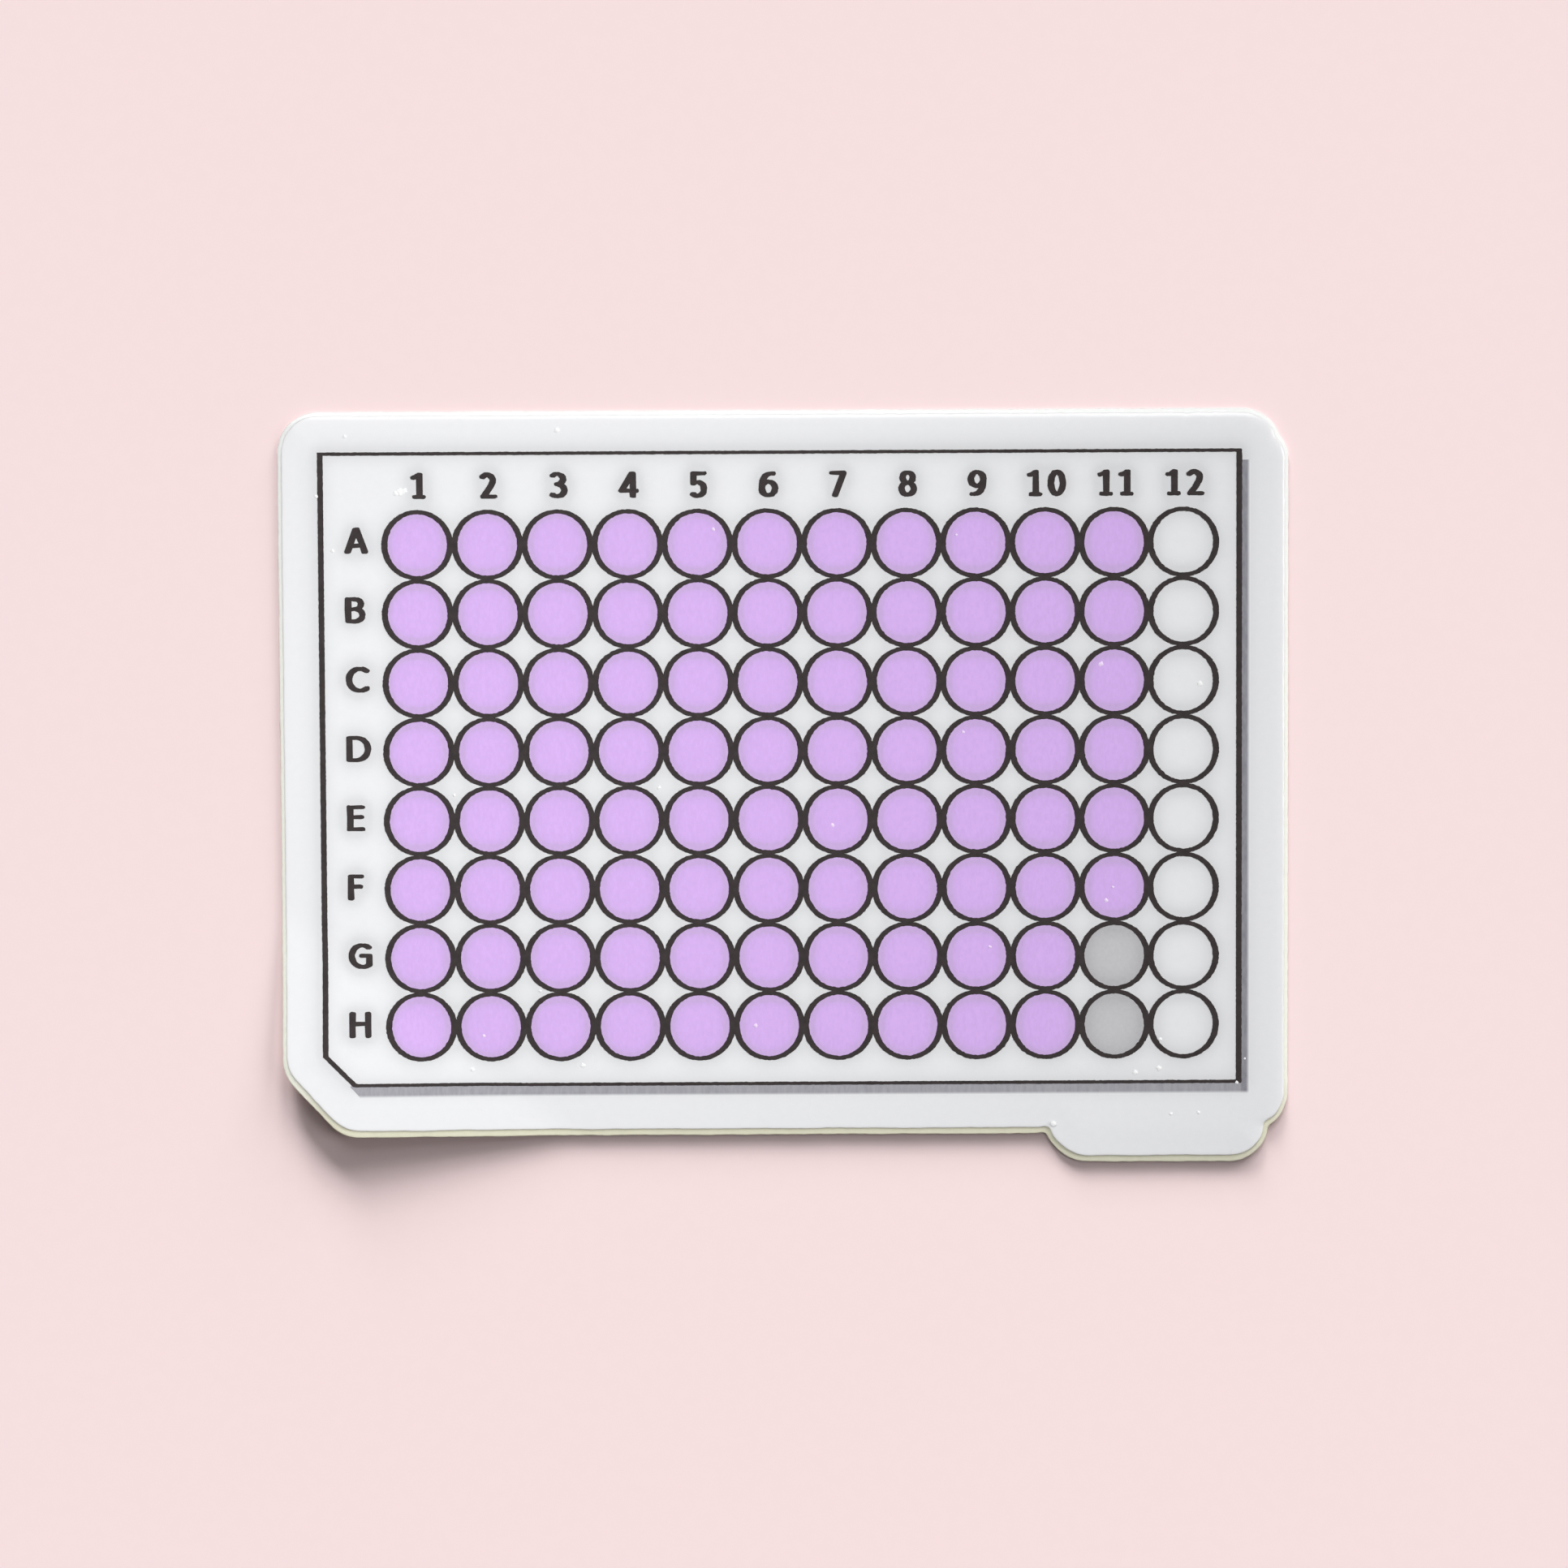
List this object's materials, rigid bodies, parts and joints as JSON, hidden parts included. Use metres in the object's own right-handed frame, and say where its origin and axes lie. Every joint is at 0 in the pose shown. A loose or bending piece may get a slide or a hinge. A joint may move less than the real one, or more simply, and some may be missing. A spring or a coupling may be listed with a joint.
{
  "type": "die-cut sticker",
  "caption": "Flat die-cut vinyl sticker on its paper backing, printed with a labelled well-plate map, with a tab at its lower edge and one curled corner.",
  "frame": {"origin": "under the middle of the sheet's box, on the plane of its flat underside", "axes": "+X along the long side, +Y towards the top of the print, +Z out of the printed face"},
  "size_m": [0.0762, 0.0572, 0.0015],
  "materials": {
    "printed_vinyl": "gloss",
    "liner_paper": "satin"
  },
  "bodies": {
    "root": {"face_film": "printed_vinyl", "release_liner": "liner_paper"}
  },
  "joints": []
}
